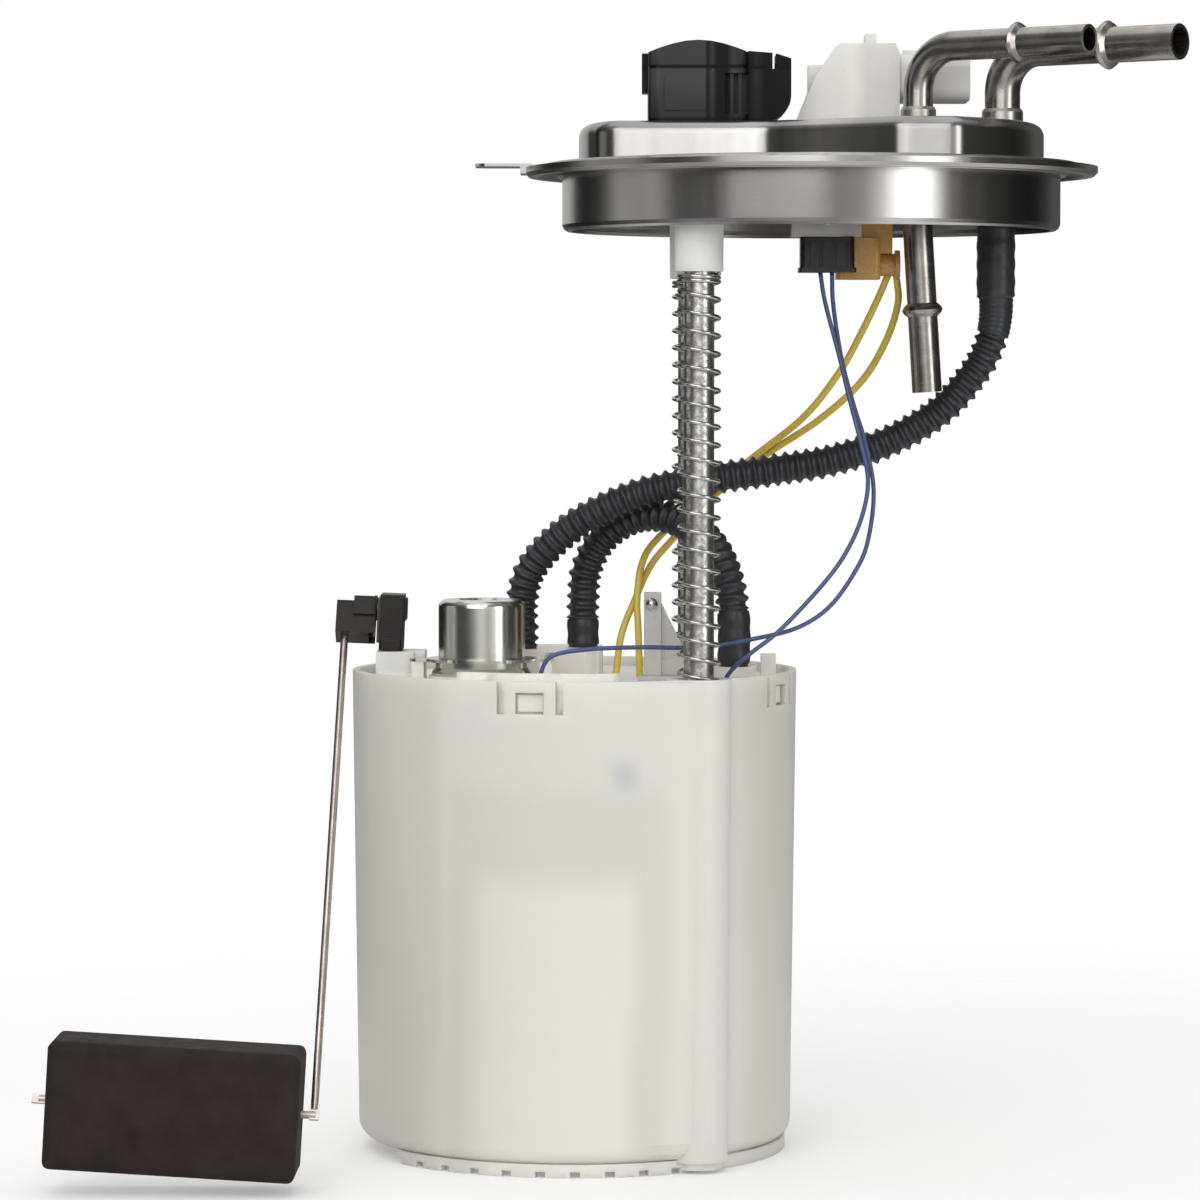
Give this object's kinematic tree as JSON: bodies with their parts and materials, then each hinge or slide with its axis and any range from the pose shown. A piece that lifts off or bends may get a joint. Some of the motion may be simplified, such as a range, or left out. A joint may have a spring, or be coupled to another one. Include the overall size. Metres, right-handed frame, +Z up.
{
  "type": "in-tank electric fuel pump module",
  "caption": "Fuel pump module: steel tank flange on sprung guide rods over a milky plastic reservoir with pump, regulator, level float, hoses and wires.",
  "frame": {"origin": "axis of the flange collar at the underside of the brim, where the tank seal sits", "axes": "+Z up out of the tank, +X towards the fuel line ends, -Y towards the front rod"},
  "size_m": [0.3, 0.1667, 0.3025],
  "materials": {
    "stainless": "drawn stainless sheet, satin with draw lines",
    "stainless_tube": "drawn stainless tube, smooth and bright",
    "braze": "brazed collar, slightly dull",
    "rod_steel": "turned steel, faint rings",
    "spring_steel": "bright zinc plated wire",
    "zinc": "zinc plated with a faint yellow and green tint",
    "nylon": "natural white moulded nylon",
    "white_plastic": "white moulded plastic, slightly translucent",
    "milky_acetal": "milky translucent acetal",
    "cover_acetal": "milky acetal over warm inner parts",
    "clear_plastic": "cloudy clear moulded plastic",
    "black_plastic": "black glass filled plastic",
    "brown_plastic": "very dark brown moulded plastic",
    "amber_plastic": "amber translucent plastic",
    "float_foam": "dark brown closed cell nitrile foam, finely pitted",
    "hose_black": "black corrugated nylon hose, satin",
    "rubber": "black rubber",
    "strainer_felt": "white woven filter sock",
    "magnet": "dark grey sintered ferrite, carbon and laminated iron",
    "terminal_brass": "brass",
    "ceramic": "glazed ceramic resistor card",
    "wire_blue": "blue insulated wire",
    "wire_yellow": "yellow insulated wire"
  },
  "bodies": {
    "reservoir": {"guide_bushings": "nylon", "reservoir_cup": "milky_acetal", "reservoir_cover": "cover_acetal", "foot_valve": "rubber", "cover_plug": "cover_acetal", "sender_bracket": "nylon", "retainer_post": "clear_plastic", "post_screw": "zinc", "pump_holder": "nylon", "pump_isolator": "rubber", "pump_can": "zinc", "pump_magnets": "magnet", "pump_inlet_cap": "black_plastic", "pump_mid_plate": "black_plastic", "pump_outlet_cap": "black_plastic", "pump_bearings": "terminal_brass", "pump_brushes": "magnet", "strainer": "strainer_felt", "riser_hose": "hose_black", "jet_pump": "nylon", "jet_nozzle": "terminal_brass", "regulator_cup": "zinc", "regulator_base": "zinc", "regulator_clip": "zinc", "regulator_spring": "spring_steel", "sender_housing": "brown_plastic", "sender_card": "ceramic", "jet_hose": "hose_black"},
    "flange": {"brim_plate": "stainless", "deck_pan": "stainless", "collar_ring": "stainless", "supply_tube": "stainless_tube", "return_tube": "stainless_tube", "tube_ferrules": "braze", "guide_rod_front": "rod_steel", "guide_rod_rear": "rod_steel", "rod_bosses": "nylon", "rod_clips": "spring_steel", "spring_front": "spring_steel", "spring_rear": "spring_steel", "sensor_body": "black_plastic", "sensor_cap": "black_plastic", "sensor_terminals": "terminal_brass", "power_connector": "white_plastic", "power_terminals": "terminal_brass", "connector_base": "clear_plastic", "sender_plug": "black_plastic", "pump_plug": "amber_plastic", "supply_hose": "hose_black", "wire_blue": "wire_blue", "wire_yellow": "wire_yellow"},
    "float_arm": {"float_arm": "spring_steel", "sender_rotor": "brown_plastic", "wiper": "terminal_brass"},
    "armature": {"shaft": "rod_steel", "armature_core": "magnet", "impeller": "black_plastic"},
    "float": {"float_body": "float_foam"},
    "check_valve": {"check_valve": "rubber"},
    "regulator_valve": {"regulator_valve": "zinc"}
  },
  "joints": [
    {"name": "flange_slide", "type": "slide", "parent": "reservoir", "child": "flange", "axis": [0, 0, 1], "range_m": [-0.06, 0], "stiffness_N_per_m": 700, "springref_m": 0.03, "deforming": ["spring_front", "spring_rear", "supply_hose", "wire_blue", "wire_yellow"]},
    {"name": "float_swing", "type": "hinge", "parent": "reservoir", "child": "float_arm", "pos_m": [-0.1154, -0.008, -0.1158], "axis": [-0.9993, 0, 0.0384], "range_deg": [0, 95]},
    {"name": "float_roll", "type": "hinge", "parent": "float_arm", "child": "float", "pos_m": [-0.16545, -0.07787, -0.24003], "axis": [0.9981, -0.0118, -0.0597], "continuous": true},
    {"name": "armature_spin", "type": "hinge", "parent": "reservoir", "child": "armature", "pos_m": [-0.0688, -0.028, -0.215], "axis": [0, 0, 1], "continuous": true},
    {"name": "check_valve_lift", "type": "slide", "parent": "reservoir", "child": "check_valve", "axis": [0, 0, 1], "range_m": [0, 0.002]},
    {"name": "regulator_lift", "type": "slide", "parent": "reservoir", "child": "regulator_valve", "axis": [0, 0, 1], "range_m": [0, 0.0008], "stiffness_N_per_m": 400, "springref_m": -0.004, "deforming": ["regulator_spring"]}
  ]
}
